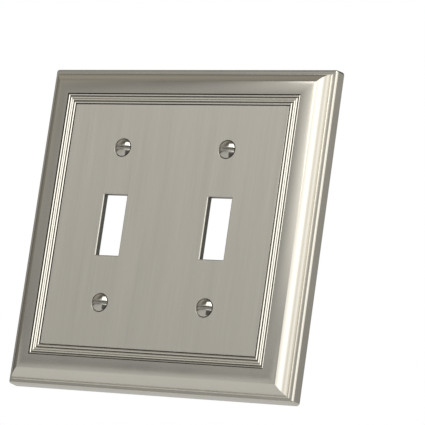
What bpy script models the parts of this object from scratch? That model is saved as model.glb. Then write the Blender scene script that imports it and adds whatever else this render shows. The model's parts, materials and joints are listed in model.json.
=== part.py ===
"""Two-gang toggle-switch wall plate: a hollow cast cover with a moulded border and two toggle openings,
held to the switches behind it by four slotted oval-head screws.

X runs to the viewer's right and Z up, and the plate faces -Y. The wall is the plane Y = 0, and the origin
is the centre of the plate on that plane. Heights are measured from the wall towards the viewer, and
insets from the plate's outline towards its middle.
"""

import math

import bmesh
import bpy
from mathutils import Matrix, Vector

MM = 0.001

# Outline and side wall.
PLATE_SIZE = 125.6 * MM  # width and height at the wall
FOOT_HEIGHT = 0.3 * MM  # straight foot of the side wall, where it meets the wall
CORNER_RADIUS = 1.3 * MM
CORNER_SEGMENTS = 5
SIDE_DRAFT = 0.3 * MM
EDGE_RADIUS = 0.8 * MM  # rounded edge between the side wall and the lip
EDGE_SEGMENTS = 4

# Moulded border: lip, riser, quarter-round, then a bead, a cove and a bead round the field.
LIP_INSET = 2.5 * MM
LIP_HEIGHT = 4.9 * MM
RISER_DRAFT = 0.05 * MM
RISER_HEIGHT = 0.6 * MM
CREST_INSET = 11.3 * MM
CREST_HEIGHT = 10.6 * MM
QUARTER_ROUND_SEGMENTS = 14
FIELD_INSET = 15.4 * MM
FIELD_HEIGHT = 10.1 * MM
QUIRK_WIDTH = 0.08 * MM  # the sharp grooves between the mouldings
QUIRK_HEIGHT = 10.15 * MM
BEAD_WIDTH = 1.12 * MM
BEAD_HEIGHT = 10.62 * MM
BEAD_SEGMENTS = 6
COVE_HEIGHT = 10.55 * MM
COVE_SAG = 0.3 * MM
COVE_SEGMENTS = 6

# Hollow back.
RIM_WIDTH = 2.0 * MM
HOLLOW_DRAFT = 0.3 * MM
WALL_THICKNESS = 1.8 * MM
BOSS_RADIUS = 4.8 * MM
BOSS_HEIGHT = 1.9 * MM
BOSS_SIDES = 32
COLLAR_WIDTH = 1.2 * MM  # stiffening collar behind each switch opening
COLLAR_HEIGHT = 1.0 * MM

# Switch openings and screw holes, on the standard two-gang toggle pattern.
GANG_SPACING = 46.04 * MM
SCREW_SPACING = 60.33 * MM
TOGGLE_WIDTH = 10.3 * MM
TOGGLE_HEIGHT = 23.8 * MM
HOLE_RADIUS = 2.1 * MM
FIT_GAP = 0.3 * MM  # radial clearance round the countersunk head

# Screws: No. 6-32 oval head, slotted, 19 mm long.
HEAD_RADIUS = 3.3 * MM
DOME_HEIGHT = 1.1 * MM
DOME_SEGMENTS = 8
HEAD_RIM = 0.1 * MM
COUNTERSINK_HALF_ANGLE = math.radians(41)
SHANK_RADIUS = 1.72 * MM
SCREW_LENGTH = 19.05 * MM  # below the head's rim
TIP_CHAMFER = 0.55 * MM
SLOT_WIDTH = 1.15 * MM
SLOT_DEPTH = 1.5 * MM
TURNED_STEPS = 32

MERGE = 0.01 * MM
OVERRUN = 1.0 * MM  # how far a cutter reaches past the faces it opens
TOWARDS_VIEWER = Vector((0, -1, 0))
TOWARDS_WALL = Vector((0, 1, 0))


def clear_scene():
    for obj in list(bpy.data.objects):
        bpy.data.objects.remove(obj, do_unlink=True)


def collection(name, parent=None, helpers=False):
    made = bpy.data.collections.new(name)
    (parent or bpy.context.scene.collection).children.link(made)
    made.hide_render = helpers
    return made


def metal(name, color, roughness):
    made = bpy.data.materials.new(name)
    made.use_nodes = True
    shader = made.node_tree.nodes["Principled BSDF"]
    shader.inputs["Base Color"].default_value = (*color, 1)
    shader.inputs["Metallic"].default_value = 1.0
    shader.inputs["Roughness"].default_value = roughness
    return made


def add_object(name, bm, into, material=None, helper=False):
    mesh = bpy.data.meshes.new(name)
    bm.to_mesh(mesh)
    bm.free()
    obj = bpy.data.objects.new(name, mesh)
    into.objects.link(obj)
    if material:
        mesh.materials.append(material)
    if helper:
        obj.hide_render = True
        obj.display_type = "WIRE"
    return obj


def box(size, centre):
    bm = bmesh.new()
    bmesh.ops.create_cube(bm, size=1.0, matrix=Matrix.Translation(centre) @ Matrix.Diagonal((*size, 1)))
    return bm


def arc(centre, radii, start, end, segments):
    """Points after the first along an ellipse, with angles in degrees."""
    points = []
    for step in range(1, segments + 1):
        angle = math.radians(start + (end - start) * step / segments)
        points.append((centre[0] + radii[0] * math.cos(angle), centre[1] + radii[1] * math.sin(angle)))
    return points


def front_profile():
    """(inset, height) from the top of the foot, over the border, to the edge of the flat field."""
    points = [(0, FOOT_HEIGHT), (SIDE_DRAFT, LIP_HEIGHT - EDGE_RADIUS)]
    edge_centre = (SIDE_DRAFT + EDGE_RADIUS, LIP_HEIGHT - EDGE_RADIUS)
    points += arc(edge_centre, (EDGE_RADIUS, EDGE_RADIUS), 180, 90, EDGE_SEGMENTS)
    points.append((LIP_INSET, LIP_HEIGHT))
    foot = (LIP_INSET + RISER_DRAFT, LIP_HEIGHT + RISER_HEIGHT)
    points.append(foot)
    radii = (CREST_INSET - foot[0], CREST_HEIGHT - foot[1])
    points += arc((CREST_INSET, foot[1]), radii, 180, 90, QUARTER_ROUND_SEGMENTS)
    points.append((CREST_INSET + QUIRK_WIDTH, QUIRK_HEIGHT))
    points += bead(points[-1][0])
    points += cove(points[-1][0], FIELD_INSET - 2 * QUIRK_WIDTH - BEAD_WIDTH)
    points += bead(points[-1][0])
    points.append((FIELD_INSET, FIELD_HEIGHT))
    return points


def bead(start):
    """A half-round strip that rises from one quirk and ends in the next."""
    centre = (start + BEAD_WIDTH / 2, QUIRK_HEIGHT)
    radii = (BEAD_WIDTH / 2, BEAD_HEIGHT - QUIRK_HEIGHT)
    return arc(centre, radii, 180, 0, BEAD_SEGMENTS)


def cove(start, end):
    """A shallow hollow strip, with a quirk down its inner side."""
    edge = start + QUIRK_WIDTH
    centre = ((edge + end) / 2, COVE_HEIGHT)
    radii = ((end - edge) / 2, -COVE_SAG)
    return [(edge, COVE_HEIGHT)] + arc(centre, radii, 180, 0, COVE_SEGMENTS) + [(end + QUIRK_WIDTH, QUIRK_HEIGHT)]


def back_profile():
    """(inset, height) from the outline, over the rim and up the hollow, to its flat ceiling."""
    lip_ceiling = LIP_HEIGHT - WALL_THICKNESS
    foot = (LIP_INSET + WALL_THICKNESS, LIP_HEIGHT + RISER_HEIGHT)
    ceiling = FIELD_HEIGHT - WALL_THICKNESS
    points = [(0, 0), (RIM_WIDTH, 0), (RIM_WIDTH + HOLLOW_DRAFT, lip_ceiling)]
    points += [(foot[0] - RISER_DRAFT, lip_ceiling + RISER_DRAFT), foot]
    radii = (CREST_INSET - foot[0], ceiling - foot[1])
    points += arc((CREST_INSET, foot[1]), radii, 180, 90, QUARTER_ROUND_SEGMENTS // 2)
    return points


def square_corners(face, half_size):
    """Draws a rounded square's corners together into four points, where its radius has run out."""
    for vert in face.verts:
        vert.co.x = math.copysign(half_size, vert.co.x)
        vert.co.z = math.copysign(half_size, vert.co.z)


def inset_along(bm, facing, profile, sign):
    """Insets the large face that faces one way, again and again, and moves it by each change of height."""
    for (inset_a, height_a), (inset_b, height_b) in zip(profile, profile[1:]):
        face = max(bm.faces, key=lambda f: f.normal.dot(facing) * f.calc_area())
        bmesh.ops.inset_region(
            bm,
            faces=[face],
            thickness=inset_b - inset_a,
            depth=sign * (height_b - height_a),
            use_even_offset=True,
        )
        if len(face.verts) > 4 and inset_b > CORNER_RADIUS - MERGE:
            square_corners(face, PLATE_SIZE / 2 - inset_b)
        bmesh.ops.remove_doubles(bm, verts=bm.verts, dist=MERGE)
        bm.normal_update()


def make_cover(into, material):
    bm = box((PLATE_SIZE, FOOT_HEIGHT, PLATE_SIZE), (0, -FOOT_HEIGHT / 2, 0))
    corners = [e for e in bm.edges if abs(e.verts[0].co.y - e.verts[1].co.y) > MERGE]
    bmesh.ops.bevel(
        bm, geom=corners, offset=CORNER_RADIUS, segments=CORNER_SEGMENTS, profile=0.5, affect="EDGES"
    )
    inset_along(bm, TOWARDS_VIEWER, front_profile(), 1)
    inset_along(bm, TOWARDS_WALL, back_profile(), -1)
    return add_object("wall_plate", bm, into, material)


def turned(name, profile, into, material=None, helper=False):
    """A solid of revolution. The profile is (radius, height), from the top of the axis to its bottom."""
    bm = bmesh.new()
    points = [bm.verts.new((radius, 0, height)) for radius, height in profile]
    for a, b in zip(points, points[1:]):
        bm.edges.new((a, b))
    obj = add_object(name, bm, into, material, helper)
    spin = obj.modifiers.new("Screw", "SCREW")
    spin.axis = "Z"
    spin.steps = TURNED_STEPS
    spin.render_steps = TURNED_STEPS
    spin.use_merge_vertices = True
    spin.merge_threshold = MERGE
    spin.use_smooth_shade = True
    return obj


def cone_depth(radius_a, radius_b):
    return (radius_a - radius_b) / math.tan(COUNTERSINK_HALF_ANGLE)


def screw_profile():
    dome_radius = (HEAD_RADIUS**2 + DOME_HEIGHT**2) / (2 * DOME_HEIGHT)
    reach = math.degrees(math.asin(HEAD_RADIUS / dome_radius))
    centre = (0, DOME_HEIGHT - dome_radius)
    points = [(0, DOME_HEIGHT)]
    points += arc(centre, (dome_radius, dome_radius), 90, 90 - reach, DOME_SEGMENTS)
    neck = -HEAD_RIM - cone_depth(HEAD_RADIUS, SHANK_RADIUS)
    points += [(HEAD_RADIUS, -HEAD_RIM), (SHANK_RADIUS, neck)]
    points += [(SHANK_RADIUS, TIP_CHAMFER - SCREW_LENGTH), (SHANK_RADIUS - TIP_CHAMFER, -SCREW_LENGTH)]
    points.append((0, -SCREW_LENGTH))
    return points


def hole_profile():
    """The countersunk hole, a constant gap wider than the screw's head."""
    mouth = HEAD_RADIUS + FIT_GAP
    flare = mouth + (HEAD_RIM + OVERRUN) * math.tan(COUNTERSINK_HALF_ANGLE)
    throat = -HEAD_RIM - cone_depth(mouth, HOLE_RADIUS)
    bottom = -WALL_THICKNESS - BOSS_HEIGHT - OVERRUN
    return [(0, OVERRUN), (flare, OVERRUN), (HOLE_RADIUS, throat), (HOLE_RADIUS, bottom), (0, bottom)]


def place(obj, x, z):
    """Puts a turned piece on a screw's axis, its top towards the viewer."""
    obj.location = (x, -FIELD_HEIGHT, z)
    obj.rotation_euler = (math.radians(90), 0, 0)


def boolean(obj, operation, target):
    cut = obj.modifiers.new(operation.title(), "BOOLEAN")
    cut.operation = operation
    cut.solver = "EXACT"
    if isinstance(target, bpy.types.Collection):
        cut.operand_type = "COLLECTION"
        cut.collection = target
    else:
        cut.object = target


def gang_places():
    """Name and middle of each switch opening."""
    return (("left", -GANG_SPACING / 2), ("right", GANG_SPACING / 2))


def screw_places():
    """Name and axis of each screw."""
    for row, z in (("top", SCREW_SPACING / 2), ("bottom", -SCREW_SPACING / 2)):
        for side, x in gang_places():
            yield f"{row}_{side}", x, z


def make_collar(side, x, into):
    """The thicker edge that a switch opening is cut through."""
    overlap = WALL_THICKNESS / 2
    depth = COLLAR_HEIGHT + overlap
    size = (TOGGLE_WIDTH + 2 * COLLAR_WIDTH, depth, TOGGLE_HEIGHT + 2 * COLLAR_WIDTH)
    middle = -FIELD_HEIGHT + WALL_THICKNESS + COLLAR_HEIGHT - depth / 2
    return add_object(f"collar_{side}", box(size, (x, middle, 0)), into, helper=True)


def make_boss(name, x, z, into):
    """The thicker land behind the plate that a countersink needs."""
    bm = bmesh.new()
    overlap = WALL_THICKNESS / 2
    length = BOSS_HEIGHT + overlap
    middle = -FIELD_HEIGHT + WALL_THICKNESS + BOSS_HEIGHT - length / 2
    turn = Matrix.Translation((x, middle, z)) @ Matrix.Rotation(math.radians(90), 4, "X")
    bmesh.ops.create_cone(
        bm,
        cap_ends=True,
        segments=BOSS_SIDES,
        radius1=BOSS_RADIUS,
        radius2=BOSS_RADIUS,
        depth=length,
        matrix=turn,
    )
    return add_object(f"boss_{name}", bm, into, helper=True)


def make_toggle_cutter(side, x, into):
    through = WALL_THICKNESS + COLLAR_HEIGHT
    size = (TOGGLE_WIDTH, through + 2 * OVERRUN, TOGGLE_HEIGHT)
    return add_object(f"toggle_cutter_{side}", box(size, (x, through / 2 - FIELD_HEIGHT, 0)), into, helper=True)


def make_screw(name, x, z, into, cutters, material):
    screw = turned(f"screw_{name}", screw_profile(), into, material)
    place(screw, x, z)
    slot_bottom = FIELD_HEIGHT + DOME_HEIGHT - SLOT_DEPTH
    depth = SLOT_DEPTH + OVERRUN
    centre = (x, -slot_bottom - depth / 2, z)
    slot = add_object(
        f"slot_cutter_{name}",
        box((2 * (HEAD_RADIUS + OVERRUN), depth, SLOT_WIDTH), centre),
        cutters,
        helper=True,
    )
    boolean(screw, "DIFFERENCE", slot)
    return screw


def main():
    clear_scene()
    parts = collection("two_gang_toggle_wall_plate")
    helpers = collection("cutters", helpers=True)
    lands = collection("boss_and_collar_shapes", helpers, helpers=True)
    holes = collection("plate_cutters", helpers, helpers=True)
    slots = collection("slot_cutters", helpers, helpers=True)
    satin = metal("satin_nickel_plate", (0.62, 0.60, 0.55), 0.36)
    bright = metal("nickel_screw", (0.68, 0.66, 0.61), 0.24)

    cover = make_cover(parts, satin)
    for side, x in gang_places():
        make_collar(side, x, lands)
        make_toggle_cutter(side, x, holes)
    for name, x, z in screw_places():
        make_boss(name, x, z, lands)
        place(turned(f"hole_cutter_{name}", hole_profile(), holes, helper=True), x, z)
        make_screw(name, x, z, parts, slots, bright)
    boolean(cover, "UNION", lands)
    boolean(cover, "DIFFERENCE", holes)


main()
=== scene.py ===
"""Looks of the two-gang toggle-switch wall plate: a hollow cast cover with a moulded border and a brushed
field, and the four slotted oval-head screws that hold it.

Metres, X to the viewer's right and Z up. The plate faces -Y and the wall is the plane Y = 0. Heights are
measured from the wall towards the viewer, insets from the plate's outline towards its middle.
"""

import json
import math

import bmesh
import bpy
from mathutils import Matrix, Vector


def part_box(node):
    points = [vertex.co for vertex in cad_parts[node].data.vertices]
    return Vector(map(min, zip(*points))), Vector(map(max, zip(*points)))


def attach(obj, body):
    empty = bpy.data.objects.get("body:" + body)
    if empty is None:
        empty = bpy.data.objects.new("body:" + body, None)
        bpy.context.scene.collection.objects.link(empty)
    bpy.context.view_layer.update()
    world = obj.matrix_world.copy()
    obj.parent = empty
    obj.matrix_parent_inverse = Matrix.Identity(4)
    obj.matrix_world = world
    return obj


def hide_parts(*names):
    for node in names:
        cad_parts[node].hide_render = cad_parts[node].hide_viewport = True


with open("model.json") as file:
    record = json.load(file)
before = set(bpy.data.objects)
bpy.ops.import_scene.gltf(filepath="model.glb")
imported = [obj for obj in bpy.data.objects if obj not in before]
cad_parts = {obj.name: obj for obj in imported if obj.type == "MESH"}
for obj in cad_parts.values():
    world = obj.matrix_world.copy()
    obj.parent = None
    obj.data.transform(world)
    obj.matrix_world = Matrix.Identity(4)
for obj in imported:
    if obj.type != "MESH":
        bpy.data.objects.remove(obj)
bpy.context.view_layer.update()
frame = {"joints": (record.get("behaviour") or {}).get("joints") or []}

MM = 0.001
PLATE_LOW, PLATE_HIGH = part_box("wall_plate")

# The cover's outline and moulded border, as in the CAD.
PLATE_SIZE = PLATE_HIGH.x - PLATE_LOW.x
FOOT_HEIGHT = 0.3 * MM
CORNER_RADIUS = 1.3 * MM
CORNER_SEGMENTS = 10
SIDE_DRAFT = 0.3 * MM
EDGE_RADIUS = 0.8 * MM
LIP_INSET = 2.5 * MM
LIP_HEIGHT = 4.9 * MM
RISER_DRAFT = 0.05 * MM
RISER_HEIGHT = 0.6 * MM
SHOULDER_RADIUS = 0.5 * MM  # rounded step at the riser's foot
CREST_INSET = 11.3 * MM
CREST_HEIGHT = 10.6 * MM
FIELD_INSET = 15.4 * MM
FIELD_HEIGHT = 10.1 * MM
RIDGE_FOOT = 10.2 * MM  # floor of the border between its beads and its pair of reeds
RIDGE_WIDTH = 0.75 * MM
RIDGE_SLOPE = 38  # degrees
RIDGE_ROUNDING = 0.12 * MM
REED_PITCH = 0.84 * MM
BEAD_PITCH = 1.11 * MM  # from a bead to the nearer reed
BEAD_OFFSET = 0.52 * MM  # from the inner bead to the edge of the field
QUIRK_DRAFT = 0.05 * MM
QUIRK_FLOOR = 9.85 * MM  # groove round the field; its floor is coloured dark as painted shade
QUIRK_END = 15.66 * MM
RIM_WIDTH = 2.0 * MM
HOLLOW_DRAFT = 0.3 * MM
RIM_CHAMFER = 0.15 * MM
FIELD_EDGE = 0.12 * MM  # rounding of the field's edge, beside that groove
WALL_THICKNESS = 1.8 * MM
CEILING_HEIGHT = FIELD_HEIGHT - WALL_THICKNESS
INNER_FILLET = 0.5 * MM

# Toggle openings, countersinks and the bosses behind them.
GANG_SPACING = 46.04 * MM
TOGGLE_WIDTH = 10.3 * MM
TOGGLE_HEIGHT = 23.8 * MM
TOGGLE_CORNER = 0.3 * MM
TOGGLE_EDGE = 0.35 * MM  # rounding of the opening's front edge
EDGE_STEPS = 6
BOSS_RADIUS = 4.8 * MM
BOSS_HEIGHT = 1.9 * MM
HOLE_RADIUS = 2.1 * MM
HOLE_SEGMENTS = 96
COLLAR_WIDTH = 1.2 * MM
COLLAR_HEIGHT = 1.0 * MM
HEAD_GAP = 0.2 * MM  # between the countersink and the head
SMALL_EDGE = 0.12 * MM

# Screws: No. 6-32 oval head, slotted.
HEAD_RADIUS = 3.3 * MM
DOME_HEIGHT = 1.1 * MM
HEAD_RIM = 0.1 * MM
COUNTERSINK_TAN = math.tan(math.radians(41))
THREAD_CREST = 1.7 * MM
THREAD_ROOT = 1.33 * MM
THREAD_PITCH = 25.4 / 32 * MM
THREAD_PROFILE = ((0.0, 0.0), (0.36, 1.0), (0.5, 1.0), (0.86, 0.0))  # share of pitch, share of depth
SCREW_LENGTH = 19.05 * MM
TIP_CHAMFER = 0.55 * MM
SLOT_WIDTH = 1.15 * MM
SLOT_DEPTH = 1.5 * MM
SLOT_EDGE = 0.13 * MM
DOME_RADIUS = (HEAD_RADIUS**2 + DOME_HEIGHT**2) / (2 * DOME_HEIGHT)

MERGE = 0.001 * MM
COVER_SHARP_ANGLE = 32  # degrees between faces from which an edge is drawn sharp
SCREW_SHARP_ANGLE = 40


# ---------------------------------------------------------------- shared mesh helpers

def arc(centre, radii, start, end, segments):
    """Points after the first along an ellipse, with angles in degrees."""
    points = []
    for step in range(1, segments + 1):
        angle = math.radians(start + (end - start) * step / segments)
        points.append((centre[0] + radii[0] * math.cos(angle), centre[1] + radii[1] * math.sin(angle)))
    return points


def add_ring(bm, outline, height):
    """A closed ring of vertices from (x, z) points at one height."""
    return [bm.verts.new((x, -height, z)) for x, z in outline]


def loft(bm, ring_a, ring_b, material_index):
    """Quads between two rings that have the same number of points."""
    count = len(ring_a)
    for i in range(count):
        j = (i + 1) % count
        face = bm.faces.new((ring_a[i], ring_a[j], ring_b[j], ring_b[i]))
        face.material_index = material_index


def loft_rings(bm, rings):
    """Joins a list of (ring, material index of the band before it)."""
    for (ring_a, _), (ring_b, index) in zip(rings, rings[1:]):
        loft(bm, ring_a, ring_b, index)


def finish_mesh(name, bm, materials, sharp_angle):
    """Makes the piece, with smooth shading between its sharp edges."""
    bmesh.ops.dissolve_degenerate(bm, edges=bm.edges, dist=MERGE / 2)
    bmesh.ops.recalc_face_normals(bm, faces=bm.faces)
    mesh = bpy.data.meshes.new(name)
    bm.to_mesh(mesh)
    bm.free()
    for material in materials:
        mesh.materials.append(material)
    mesh.shade_smooth()
    mesh.set_sharp_from_angle(angle=math.radians(sharp_angle))
    obj = bpy.data.objects.new(name, mesh)
    bpy.context.scene.collection.objects.link(obj)
    normals = obj.modifiers.new("Weighted Normal", "WEIGHTED_NORMAL")
    normals.keep_sharp = True
    return obj


# ---------------------------------------------------------------- material nodes

def new_metal(name, color, roughness):
    """A metal material, its node tree and its Principled shader."""
    made = bpy.data.materials.new(name)
    made.use_nodes = True
    tree = made.node_tree
    shader = tree.nodes["Principled BSDF"]
    shader.inputs["Base Color"].default_value = (*color, 1)
    shader.inputs["Metallic"].default_value = 1.0
    shader.inputs["Roughness"].default_value = roughness
    return made, tree, shader


def noise(tree, cells, detail=2.0, roughness=0.5):
    """Noise in the object's own space, with this many cells per metre along X, Y and Z."""
    coordinates = tree.nodes.new("ShaderNodeTexCoord")
    mapping = tree.nodes.new("ShaderNodeMapping")
    texture = tree.nodes.new("ShaderNodeTexNoise")
    mapping.inputs["Scale"].default_value = cells
    texture.inputs["Scale"].default_value = 1.0
    texture.inputs["Detail"].default_value = detail
    texture.inputs["Roughness"].default_value = roughness
    tree.links.new(coordinates.outputs["Object"], mapping.inputs["Vector"])
    tree.links.new(mapping.outputs["Vector"], texture.inputs["Vector"])
    return texture.outputs["Fac"]


def remap(tree, value, low, high):
    """Spreads the middle of a noise over the range from low to high."""
    node = tree.nodes.new("ShaderNodeMapRange")
    node.inputs["From Min"].default_value = 0.25
    node.inputs["From Max"].default_value = 0.75
    node.inputs["To Min"].default_value = low
    node.inputs["To Max"].default_value = high
    tree.links.new(value, node.inputs["Value"])
    return node.outputs["Result"]


def math_node(tree, operation, a, b):
    """The result of one operation on two values or sockets."""
    node = tree.nodes.new("ShaderNodeMath")
    node.operation = operation
    for socket, value in zip(node.inputs, (a, b)):
        if isinstance(value, bpy.types.NodeSocket):
            tree.links.new(value, socket)
        else:
            socket.default_value = value
    return node.outputs["Value"]


def blend(tree, value_a, share_a, value_b, share_b):
    """The sum of two values, each times its share."""
    part_a = math_node(tree, "MULTIPLY", value_a, share_a)
    part_b = math_node(tree, "MULTIPLY", value_b, share_b)
    return math_node(tree, "ADD", part_a, part_b)


def tint(tree, factor, dark, light, socket):
    """Drives a color socket between two colors."""
    ramp = tree.nodes.new("ShaderNodeValToRGB")
    ramp.color_ramp.elements[0].color = (*dark, 1)
    ramp.color_ramp.elements[1].color = (*light, 1)
    ramp.color_ramp.elements[0].position = 0.3
    ramp.color_ramp.elements[1].position = 0.7
    tree.links.new(factor, ramp.inputs["Fac"])
    tree.links.new(ramp.outputs["Color"], socket)


def bump(tree, shader, height, distance):
    """Fine relief in the shading, as deep as the distance."""
    node = tree.nodes.new("ShaderNodeBump")
    node.inputs["Strength"].default_value = 1.0
    node.inputs["Distance"].default_value = distance
    tree.links.new(height, node.inputs["Height"])
    tree.links.new(node.outputs["Normal"], shader.inputs["Normal"])


def shade(color, factor):
    """A color times a factor."""
    return tuple(channel * factor for channel in color)


NICKEL = (0.64, 0.615, 0.545)


def brushed_nickel():
    """The field: fine scratches that all run up and down."""
    made, tree, shader = new_metal("plate_brushed_nickel", NICKEL, 0.34)
    hairlines = noise(tree, (5200, 5200, 70), 3.0, 0.6)
    strokes = noise(tree, (1500, 1500, 22), 2.0, 0.5)
    bands = noise(tree, (260, 260, 9), 1.0, 0.5)
    streaks = blend(tree, hairlines, 0.6, strokes, 0.4)
    tint(tree, streaks, shade(NICKEL, 0.87), shade(NICKEL, 0.97), shader.inputs["Base Color"])
    wear = blend(tree, strokes, 0.5, bands, 0.5)
    tree.links.new(remap(tree, wear, 0.36, 0.44), shader.inputs["Roughness"])
    shader.inputs["Anisotropic"].default_value = 0.8
    tangent = tree.nodes.new("ShaderNodeTangent")
    tangent.direction_type = "RADIAL"
    tangent.axis = "Z"
    tree.links.new(tangent.outputs["Tangent"], shader.inputs["Tangent"])
    bump(tree, shader, streaks, 0.012 * MM)
    return made


def satin_nickel():
    """The mouldings: smooth satin plating with a faint fine grain."""
    made, tree, shader = new_metal("plate_satin_nickel", NICKEL, 0.22)
    grain = noise(tree, (3800, 3800, 3800), 3.0, 0.6)
    clouds = noise(tree, (70, 70, 70), 2.0, 0.5)
    tint(tree, clouds, shade(NICKEL, 0.985), shade(NICKEL, 1.015), shader.inputs["Base Color"])
    tree.links.new(remap(tree, clouds, 0.2, 0.24), shader.inputs["Roughness"])
    bump(tree, shader, grain, 0.002 * MM)
    return made


def cast_back():
    """The hollow side: duller plating over a grainy casting."""
    made, tree, shader = new_metal("plate_cast_back", shade(NICKEL, 0.8), 0.5)
    grain = noise(tree, (1900, 1900, 1900), 4.0, 0.65)
    clouds = noise(tree, (90, 90, 90), 3.0, 0.6)
    tint(tree, clouds, shade(NICKEL, 0.68), shade(NICKEL, 0.86), shader.inputs["Base Color"])
    tree.links.new(remap(tree, clouds, 0.42, 0.58), shader.inputs["Roughness"])
    bump(tree, shader, grain, 0.05 * MM)
    return made


def wall_painted_shade():
    """The walls of the switch openings and screw bores: dull metal coloured dark as painted shade."""
    made, tree, shader = new_metal("plate_cut_wall", shade(NICKEL, 0.3), 0.5)
    scratches = noise(tree, (700, 5000, 700), 3.0, 0.6)
    tint(tree, scratches, shade(NICKEL, 0.22), shade(NICKEL, 0.36), shader.inputs["Base Color"])
    bump(tree, shader, scratches, 0.01 * MM)
    return made


def groove_painted_shade():
    """The floors of the narrow grooves: dull metal coloured nearly black as painted shade."""
    made, tree, shader = new_metal("plate_crevice", shade(NICKEL, 0.15), 0.55)
    specks = noise(tree, (2500, 2500, 2500), 3.0, 0.6)
    tint(tree, specks, shade(NICKEL, 0.1), shade(NICKEL, 0.2), shader.inputs["Base Color"])
    bump(tree, shader, specks, 0.01 * MM)
    return made


def screw_nickel():
    """Plated screws: brighter than the cover, with a faint cloudy tone and a finer grain."""
    made, tree, shader = new_metal("screw_nickel", shade(NICKEL, 0.85), 0.14)
    grain = noise(tree, (4200, 4200, 4200), 3.0, 0.6)
    clouds = noise(tree, (400, 400, 400), 2.0, 0.5)
    tint(tree, clouds, shade(NICKEL, 0.78), shade(NICKEL, 0.9), shader.inputs["Base Color"])
    tree.links.new(remap(tree, clouds, 0.1, 0.17), shader.inputs["Roughness"])
    bump(tree, shader, grain, 0.003 * MM)
    return made


# ---------------------------------------------------------------- the cover

BRUSHED, SATIN, CAST, PAINTED_WALL_SHADE, PAINTED_GROOVE_SHADE = range(5)  # material indices on the cover; the last two colour walls and groove floors dark as painted shade


def square_outline(inset):
    """A square inset from the outline, with round corners until their radius has run out."""
    radius = max(CORNER_RADIUS - inset, 0)
    return rounded_rectangle(PLATE_SIZE / 2 - inset, PLATE_SIZE / 2 - inset, radius, CORNER_SEGMENTS)


def rounded_rectangle(half_width, half_height, radius, segments, centre=(0, 0)):
    """Points round a rectangle with arcs for corners."""
    points = []
    for quarter, (side_x, side_z) in enumerate(((1, 1), (-1, 1), (-1, -1), (1, -1))):
        for step in range(segments + 1):
            angle = math.radians(90 * (quarter + step / segments))
            x = side_x * (half_width - radius) + radius * math.cos(angle)
            z = side_z * (half_height - radius) + radius * math.sin(angle)
            points.append((centre[0] + x, centre[1] + z))
    return points


def circle(radius, centre):
    """Points round a hole or a boss."""
    turn = 2 * math.pi / HOLE_SEGMENTS
    return [
        (centre[0] + radius * math.cos(turn * i), centre[1] + radius * math.sin(turn * i))
        for i in range(HOLE_SEGMENTS)
    ]


def ridge(peak):
    """A straight-sided ridge with a rounded top, on the floor of the border."""
    lean = math.radians(RIDGE_SLOPE)
    top_height = RIDGE_FOOT + RIDGE_WIDTH / 2 * math.tan(lean)
    centre = (peak, top_height - RIDGE_ROUNDING / math.cos(lean))
    side, rise = RIDGE_ROUNDING * math.sin(lean), RIDGE_ROUNDING * math.cos(lean)
    top = arc(centre, (RIDGE_ROUNDING, RIDGE_ROUNDING), 90 + RIDGE_SLOPE, 90 - RIDGE_SLOPE, 6)
    return [(peak - side, centre[1] + rise), *top, (peak + RIDGE_WIDTH / 2, RIDGE_FOOT)]


def groove_floor(start, end):
    """The flat floor of a groove between two ridges, coloured dark as painted shade."""
    return [(start, RIDGE_FOOT), (end, RIDGE_FOOT)]


def border_bands():
    """Runs of (inset, height) points over the front, each with its material, from the wall to the field."""
    edge_centre = (SIDE_DRAFT + EDGE_RADIUS, LIP_HEIGHT - EDGE_RADIUS)
    lip = [(RIM_CHAMFER, 0), (0, RIM_CHAMFER), (0, FOOT_HEIGHT), (SIDE_DRAFT, LIP_HEIGHT - EDGE_RADIUS)]
    lip += arc(edge_centre, (EDGE_RADIUS, EDGE_RADIUS), 180, 90, 10)
    lip.append((LIP_INSET - SHOULDER_RADIUS, LIP_HEIGHT))
    shoulder = arc((LIP_INSET, LIP_HEIGHT), (SHOULDER_RADIUS, SHOULDER_RADIUS), 180, 90, 8)
    foot = (LIP_INSET + RISER_DRAFT, LIP_HEIGHT + RISER_HEIGHT)
    radii = (CREST_INSET - foot[0], CREST_HEIGHT - foot[1])
    crest = [foot] + arc((CREST_INSET, foot[1]), radii, 180, 90, 48)
    inner_bead = FIELD_INSET - BEAD_OFFSET
    inner_reed = inner_bead - BEAD_PITCH
    outer_reed = inner_reed - REED_PITCH
    outer_bead = outer_reed - BEAD_PITCH
    half = RIDGE_WIDTH / 2
    quirk = [(inner_bead + half + QUIRK_DRAFT, QUIRK_FLOOR), (QUIRK_END, QUIRK_FLOOR)]
    quirk.append((QUIRK_END, FIELD_HEIGHT - FIELD_EDGE))
    field_edge_centre = (QUIRK_END + FIELD_EDGE, FIELD_HEIGHT - FIELD_EDGE)
    field_edge = arc(field_edge_centre, (FIELD_EDGE, FIELD_EDGE), 180, 90, 4)
    # The groove floors and the quirk round the field are coloured dark as painted shade.
    return [
        (lip, SATIN),
        (shoulder, SATIN),
        (crest, SATIN),
        (groove_floor(CREST_INSET + QUIRK_DRAFT, outer_bead - half), PAINTED_GROOVE_SHADE),
        (ridge(outer_bead), SATIN),
        (groove_floor(outer_bead + half, outer_reed - half), PAINTED_GROOVE_SHADE),
        (ridge(outer_reed), SATIN),
        ([(inner_reed - half, RIDGE_FOOT), *ridge(inner_reed)], SATIN),
        (groove_floor(inner_reed + half, inner_bead - half), PAINTED_GROOVE_SHADE),
        (ridge(inner_bead), SATIN),
        (quirk, PAINTED_GROOVE_SHADE),
        (field_edge, SATIN),
    ]


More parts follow.
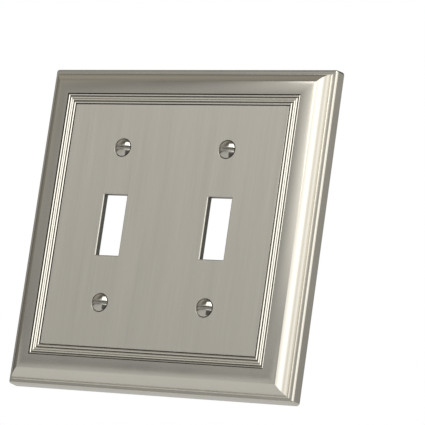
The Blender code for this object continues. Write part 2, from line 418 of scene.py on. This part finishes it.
def hollow_profile():
    """(inset, height) of the back, from the wall, up the hollow, to its flat ceiling."""
    lip_ceiling = LIP_HEIGHT - WALL_THICKNESS
    foot = (LIP_INSET + WALL_THICKNESS, LIP_HEIGHT + RISER_HEIGHT)
    points = [(RIM_CHAMFER, 0), (RIM_WIDTH - RIM_CHAMFER, 0), (RIM_WIDTH, RIM_CHAMFER)]
    wall_top = RIM_WIDTH + HOLLOW_DRAFT
    points.append((wall_top, lip_ceiling - INNER_FILLET))
    fillet_centre = (wall_top + INNER_FILLET, lip_ceiling - INNER_FILLET)
    points += arc(fillet_centre, (INNER_FILLET, INNER_FILLET), 180, 90, 6)
    points += [(foot[0] - RISER_DRAFT, lip_ceiling + RISER_DRAFT), foot]
    points += arc((CREST_INSET, foot[1]), (CREST_INSET - foot[0], CEILING_HEIGHT - foot[1]), 180, 90, 24)
    return points


def ceiling_fillet(offset):
    """The rounded foot of a collar or a boss, where it meets the hollow's ceiling."""
    centre = (offset + INNER_FILLET, CEILING_HEIGHT - INNER_FILLET)
    return arc(centre, (INNER_FILLET, INNER_FILLET), 180, 90, 6)


def toggle_opening(bm, centre):
    """One switch opening, rounded at the front edge, with a low collar behind it."""
    edge, back = TOGGLE_EDGE, CEILING_HEIGHT - COLLAR_HEIGHT
    front = [(edge, FIELD_HEIGHT)] + arc((edge, FIELD_HEIGHT - edge), (edge, edge), 90, 180, EDGE_STEPS)
    wall = [(0, back + SMALL_EDGE)]
    collar = [(SMALL_EDGE, back), (COLLAR_WIDTH - SMALL_EDGE, back), (COLLAR_WIDTH, back + SMALL_EDGE)]
    collar += ceiling_fillet(COLLAR_WIDTH)
    rings = []
    # The opening's wall is coloured dark as painted shade.
    for points, index in ((front, SATIN), (wall, PAINTED_WALL_SHADE), (collar, CAST)):
        for offset, height in points:
            half_width, half_height = TOGGLE_WIDTH / 2 + offset, TOGGLE_HEIGHT / 2 + offset
            outline = rounded_rectangle(half_width, half_height, TOGGLE_CORNER + offset, 6, centre)
            rings.append((add_ring(bm, outline, height), index))
    loft_rings(bm, rings)


def countersink(bm, centre):
    """One screw hole: its flared mouth, bore and round boss."""
    mouth = HEAD_RADIUS + HEAD_GAP + HEAD_RIM * COUNTERSINK_TAN
    throat = FIELD_HEIGHT - HEAD_RIM - (HEAD_RADIUS + HEAD_GAP - HOLE_RADIUS) / COUNTERSINK_TAN
    boss_back = CEILING_HEIGHT - BOSS_HEIGHT
    path = [(mouth + SMALL_EDGE, FIELD_HEIGHT)]
    mouth_edge = (mouth + SMALL_EDGE, FIELD_HEIGHT - SMALL_EDGE)
    path += arc(mouth_edge, (SMALL_EDGE, SMALL_EDGE), 90, 140, 3)
    path += [(HOLE_RADIUS, throat), (HOLE_RADIUS, boss_back + SMALL_EDGE)]
    path += [(HOLE_RADIUS + SMALL_EDGE, boss_back), (BOSS_RADIUS - INNER_FILLET, boss_back)]
    boss_edge = (BOSS_RADIUS - INNER_FILLET, boss_back + INNER_FILLET)
    path += arc(boss_edge, (INNER_FILLET, INNER_FILLET), 270, 360, 6)
    path += ceiling_fillet(BOSS_RADIUS)
    # The bore below the countersink is coloured dark as painted shade.
    bands = [SATIN] * 4 + [PAINTED_WALL_SHADE] * 2 + [CAST] * len(path)
    rings = []
    for (radius, height), band in zip(path, bands):
        rings.append((add_ring(bm, circle(radius, centre), height), band))
    loft_rings(bm, rings)


def fill_between(bm, height, material_index):
    """The flat face at one height, with every opening in it left open."""
    edges = [e for e in bm.edges if e.is_boundary and all(abs(v.co.y + height) < MERGE for v in e.verts)]
    made = bmesh.ops.triangle_fill(bm, use_beauty=True, edges=edges, normal=(0, -1, 0))
    for element in made["geom"]:
        if isinstance(element, bmesh.types.BMFace):
            element.material_index = material_index


def make_cover(toggle_centres, screw_centres):
    """The whole cover: front, hollow back, and the openings and holes that join them."""
    bm = bmesh.new()
    front = [
        (add_ring(bm, square_outline(inset), height), index)
        for points, index in border_bands()
        for inset, height in points
    ]
    back = [(add_ring(bm, square_outline(inset), height), CAST) for inset, height in hollow_profile()]
    loft_rings(bm, front)
    loft_rings(bm, back)
    for centre in toggle_centres:
        toggle_opening(bm, centre)
    for centre in screw_centres:
        countersink(bm, centre)
    bmesh.ops.remove_doubles(bm, verts=bm.verts, dist=MERGE)
    fill_between(bm, FIELD_HEIGHT, BRUSHED)
    fill_between(bm, CEILING_HEIGHT, CAST)
    materials = [brushed_nickel(), satin_nickel(), cast_back(), wall_painted_shade(), groove_painted_shade()]
    return finish_mesh("moulded_wall_plate", bm, materials, COVER_SHARP_ANGLE)


# ---------------------------------------------------------------- the screws

def dome_height(radius):
    """Height of the oval head's top above the field."""
    return DOME_HEIGHT - DOME_RADIUS + math.sqrt(max(DOME_RADIUS**2 - radius**2, 0))


def across_slot():
    """(distance across the slot, drop below the dome, height over the slot's floor or None) for each row."""
    half = SLOT_WIDTH / 2
    first = math.asin((half + SLOT_EDGE) / HEAD_RADIUS)
    rows = []
    for step in range(14):
        rows.append((HEAD_RADIUS * math.cos(step / 14 * (math.pi / 2 - first)), 0, None))
    rows.append((half + SLOT_EDGE, 0, None))
    for away, drop in arc((SLOT_EDGE, -SLOT_EDGE), (SLOT_EDGE, SLOT_EDGE), 90, 180, 4):
        rows.append((half + away, -drop, None))
    rows += [(half, 0, SLOT_EDGE), (half - SLOT_EDGE, 0, 0)]
    return rows + [(-across, drop, floor) for across, drop, floor in reversed(rows)]


def cone_radius(height):
    """Radius of the head's underside at a height below the rim."""
    return HEAD_RADIUS - max(-HEAD_RIM - height, 0) * COUNTERSINK_TAN


def head_grid():
    """Rows of points (across, along, height) over the top of the head, each row running along the slot."""
    floor_height = DOME_HEIGHT - SLOT_DEPTH
    rows = []
    for across, drop, over_floor in across_slot():
        rim_height = -drop if over_floor is None else floor_height + over_floor
        reach = math.sqrt(max(cone_radius(rim_height) ** 2 - across**2, 0))
        row = []
        for step in range(-12, 13):
            along = reach * math.sin(step / 12 * math.pi / 2)
            if over_floor is None:
                height = dome_height(math.hypot(across, along)) - drop
            else:
                height = rim_height
            row.append((across, along, height))
        rows.append(row)
    return rows


def make_screw_mesh():
    """A screw on the Y axis, its top towards -Y and its slot along X."""
    bm = bmesh.new()
    grid = [[bm.verts.new((along, -height, across)) for across, along, height in row] for row in head_grid()]
    for row_a, row_b in zip(grid, grid[1:]):
        for i in range(len(row_a) - 1):
            bm.faces.new((row_a[i], row_a[i + 1], row_b[i + 1], row_b[i]))
    rim = [row[-1] for row in grid] + [row[0] for row in reversed(grid)]
    angles = [math.atan2(v.co.z, v.co.x) for v in rim]
    rings = [(rim, 0)]

    def ring(radius_and_height):
        points = [radius_and_height(i) for i in range(len(angles))]
        made = [bm.verts.new((r * math.cos(a), -h, r * math.sin(a))) for a, (r, h) in zip(angles, points)]
        rings.append((made, 0))

    def under_rim(i):
        height = min(-HEAD_RIM, -rim[i].co.y)
        return cone_radius(height), height

    neck = -HEAD_RIM - (HEAD_RADIUS - THREAD_ROOT) / COUNTERSINK_TAN
    ring(under_rim)
    ring(lambda i: (cone_radius(-SLOT_DEPTH / 2), -SLOT_DEPTH / 2))
    ring(lambda i: (THREAD_ROOT, neck))
    loft_rings(bm, rings)
    thread_top, thread_bottom = neck, TIP_CHAMFER - SCREW_LENGTH
    add_thread(bm, angles, thread_top, thread_bottom)
    rings.clear()
    ring(lambda i: (THREAD_ROOT, thread_bottom))
    ring(lambda i: (THREAD_CREST - TIP_CHAMFER, -SCREW_LENGTH))
    loft_rings(bm, rings)
    bm.faces.new(rings[-1][0])
    bmesh.ops.remove_doubles(bm, verts=bm.verts, dist=MERGE)
    return bm


def add_thread(bm, angles, top, bottom):
    """The helical ridge, which fades in under the head and out at the tip."""
    shares = [(a / (2 * math.pi)) % 1.0 for a in angles]
    start = shares.index(min(shares))
    order = [(start + i) % len(angles) for i in range(len(angles))]
    turns = math.ceil((top - bottom) / THREAD_PITCH) + 2
    columns = []
    for number, index in enumerate(order + [order[0]]):
        share = shares[index] + (number == len(order))
        column = []
        for turn in range(turns):
            for along, depth in THREAD_PROFILE:
                height = bottom - THREAD_PITCH + (turn + along + share) * THREAD_PITCH
                height = min(max(height, bottom), top)
                fade = min(1, (top - height) / THREAD_PITCH, (height - bottom) / THREAD_PITCH)
                radius = THREAD_ROOT + (THREAD_CREST - THREAD_ROOT) * depth * fade
                angle = angles[index]
                column.append(bm.verts.new((radius * math.cos(angle), -height, radius * math.sin(angle))))
        columns.append(column)
    for column_a, column_b in zip(columns, columns[1:]):
        for i in range(len(column_a) - 1):
            bm.faces.new((column_a[i], column_b[i], column_b[i + 1], column_a[i + 1]))


def make_screws(material):
    """One screw for each CAD screw, on the axis of the joint that turns it."""
    for joint in frame["joints"]:
        body = joint["child"]
        x, _, z = joint["pos_m"]
        screw = finish_mesh(f"threaded_{body}", make_screw_mesh(), [material], SCREW_SHARP_ANGLE)
        screw.location = (x, -FIELD_HEIGHT, z)
        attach(screw, body)
        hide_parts(body)


# ---------------------------------------------------------------- studio

CAMERA_PLACE = (0.54536, -0.87217, -0.18096)
CAMERA_TURN = (100.596, -8.016, 29.829)
CAMERA_LENS = 233.9
FLOOR_HEIGHT = -0.5
FLOOR_SIZE = 8.0
CARD_SIZE = 0.5
CARD_COLOR = 0.18


def look_from(azimuth, elevation, distance):
    """A point seen from the plate at an azimuth to the right of straight ahead."""
    a, e = math.radians(azimuth), math.radians(elevation)
    return distance * Vector((math.sin(a) * math.cos(e), -math.cos(a) * math.cos(e), math.sin(e)))


def softbox(name, azimuth, elevation, distance, width, height, radiance):
    """A rectangular area light that faces the plate."""
    light = bpy.data.lights.new(name, "AREA")
    light.shape = "RECTANGLE"
    light.size = width
    light.size_y = height
    light.energy = radiance * math.pi * width * height
    obj = bpy.data.objects.new(name, light)
    bpy.context.scene.collection.objects.link(obj)
    obj.location = look_from(azimuth, elevation, distance)
    obj.rotation_euler = obj.location.to_track_quat("Z", "Y").to_euler()
    obj.visible_camera = False
    return obj


# Broad glows of the studio's walls and reflectors: azimuth, elevation, sharpness, radiance, color.
WHITE = (1.0, 1.0, 1.0)
WARM = (1.0, 0.94, 0.84)
GLOWS = (
    (-90, 40, 6, 0.52, WARM),  # left wall
    (-55, 9, 14, 0.26, WHITE),
    (-32, 3, 20, 0.15, WHITE),
    (-12, 18, 24, 0.68, WHITE),  # left end of the long front reflector
    (0, 25, 25, 0.36, WARM),
    (5, 3, 20, 0.42, WHITE),
    (22, 13, 14, 0.88, WHITE),
    (45, 8, 20, 1.7, WHITE),  # its bright right end
    (85, 8, 10, 0.52, WHITE),  # right wall
    (110, 8, 8, 0.85, WHITE),
    (90, 45, 5, 0.95, WARM),
)
BACKDROP_RADIANCE = 1.0
FLOOR_COLOR = 0.82
FLOOR_RADIANCE = 0.54


def glow(tree, direction, azimuth, elevation, sharpness, radiance, color):
    """Light that falls off smoothly round one direction."""
    cosine = tree.nodes.new("ShaderNodeVectorMath")
    cosine.operation = "DOT_PRODUCT"
    cosine.inputs[1].default_value = look_from(azimuth, elevation, 1)
    tree.links.new(direction, cosine.inputs[0])
    away = math_node(tree, "SUBTRACT", cosine.outputs["Value"], 1.0)
    falloff = math_node(tree, "EXPONENT", math_node(tree, "MULTIPLY", away, sharpness), 0.0)
    strength = math_node(tree, "MULTIPLY", falloff, radiance)
    background = tree.nodes.new("ShaderNodeBackground")
    background.inputs["Color"].default_value = (*color, 1)
    tree.links.new(strength, background.inputs["Strength"])
    return background.outputs["Background"]


def plain_background(tree, radiance):
    """Even white light from everywhere."""
    background = tree.nodes.new("ShaderNodeBackground")
    background.inputs["Color"].default_value = (*WHITE, 1)
    background.inputs["Strength"].default_value = radiance
    return background.outputs["Background"]


def mix_by(tree, factor, shader_a, shader_b):
    """Shader A where the factor is 0 and shader B where it is 1."""
    mix = tree.nodes.new("ShaderNodeMixShader")
    tree.links.new(factor, mix.inputs["Fac"])
    tree.links.new(shader_a, mix.inputs[1])
    tree.links.new(shader_b, mix.inputs[2])
    return mix.outputs["Shader"]


def make_world():
    """A white backdrop, even light on the floor, and the studio's glows in the metal."""
    world = bpy.data.worlds.new("studio")
    bpy.context.scene.world = world
    world.use_nodes = True
    tree = world.node_tree
    tree.nodes.clear()
    output = tree.nodes.new("ShaderNodeOutputWorld")
    direction = tree.nodes.new("ShaderNodeTexCoord").outputs["Generated"]
    studio = plain_background(tree, 0.0)
    for settings in GLOWS:
        total = tree.nodes.new("ShaderNodeAddShader")
        tree.links.new(studio, total.inputs[0])
        tree.links.new(glow(tree, direction, *settings), total.inputs[1])
        studio = total.outputs["Shader"]
    path = tree.nodes.new("ShaderNodeLightPath")
    even = plain_background(tree, FLOOR_RADIANCE / FLOOR_COLOR)
    studio = mix_by(tree, path.outputs["Is Diffuse Ray"], studio, even)
    studio = mix_by(tree, path.outputs["Is Camera Ray"], studio, plain_background(tree, BACKDROP_RADIANCE))
    tree.links.new(studio, output.inputs["Surface"])


def stage_sheet(name, size, grey):
    """A flat square of matt grey that belongs to the studio."""
    bm = bmesh.new()
    bmesh.ops.create_grid(bm, x_segments=1, y_segments=1, size=size / 2)
    mesh = bpy.data.meshes.new(name)
    bm.to_mesh(mesh)
    bm.free()
    sheet = bpy.data.objects.new(name, mesh)
    bpy.context.scene.collection.objects.link(sheet)
    made = bpy.data.materials.new(f"{name}_surface")
    made.use_nodes = True
    shader = made.node_tree.nodes["Principled BSDF"]
    shader.inputs["Base Color"].default_value = (grey, grey, grey, 1)
    shader.inputs["Roughness"].default_value = 0.9
    mesh.materials.append(made)
    return sheet


def make_floor():
    """A plain pale floor below the plate."""
    floor = stage_sheet("floor", FLOOR_SIZE, FLOOR_COLOR)
    floor.location.z = FLOOR_HEIGHT


def make_card():
    """A grey card below and to the right, which darkens the lower right of the polished screw heads."""
    card = stage_sheet("grey_card", CARD_SIZE, CARD_COLOR)
    card.location = look_from(24, -34, 0.6)
    card.rotation_euler = card.location.to_track_quat("Z", "Y").to_euler()
    card.visible_camera = False
    card.visible_diffuse = False
    card.visible_shadow = False


def make_camera():
    """A long lens from below and to the right, without depth of field."""
    data = bpy.data.cameras.new("camera")
    data.lens = CAMERA_LENS
    data.clip_end = 20
    camera = bpy.data.objects.new("camera", data)
    camera.location = CAMERA_PLACE
    camera.rotation_euler = [math.radians(angle) for angle in CAMERA_TURN]
    bpy.context.scene.collection.objects.link(camera)
    bpy.context.scene.camera = camera
    bpy.context.scene.view_settings.view_transform = "Standard"


def make_studio():
    """World, floor, card, camera and the one lamp."""
    make_world()
    make_floor()
    make_card()
    make_camera()
    softbox("upper_softbox", 22, 40, 1.6, 1.5, 0.95, 2.0)


def main():
    """Cover, screws and studio."""
    half_gang = GANG_SPACING / 2
    screw_centres = [(joint["pos_m"][0], joint["pos_m"][2]) for joint in frame["joints"]]
    cover = make_cover([(-half_gang, 0), (half_gang, 0)], screw_centres)
    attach(cover, "plate")
    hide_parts("wall_plate")
    make_screws(screw_nickel())
    make_studio()


main()
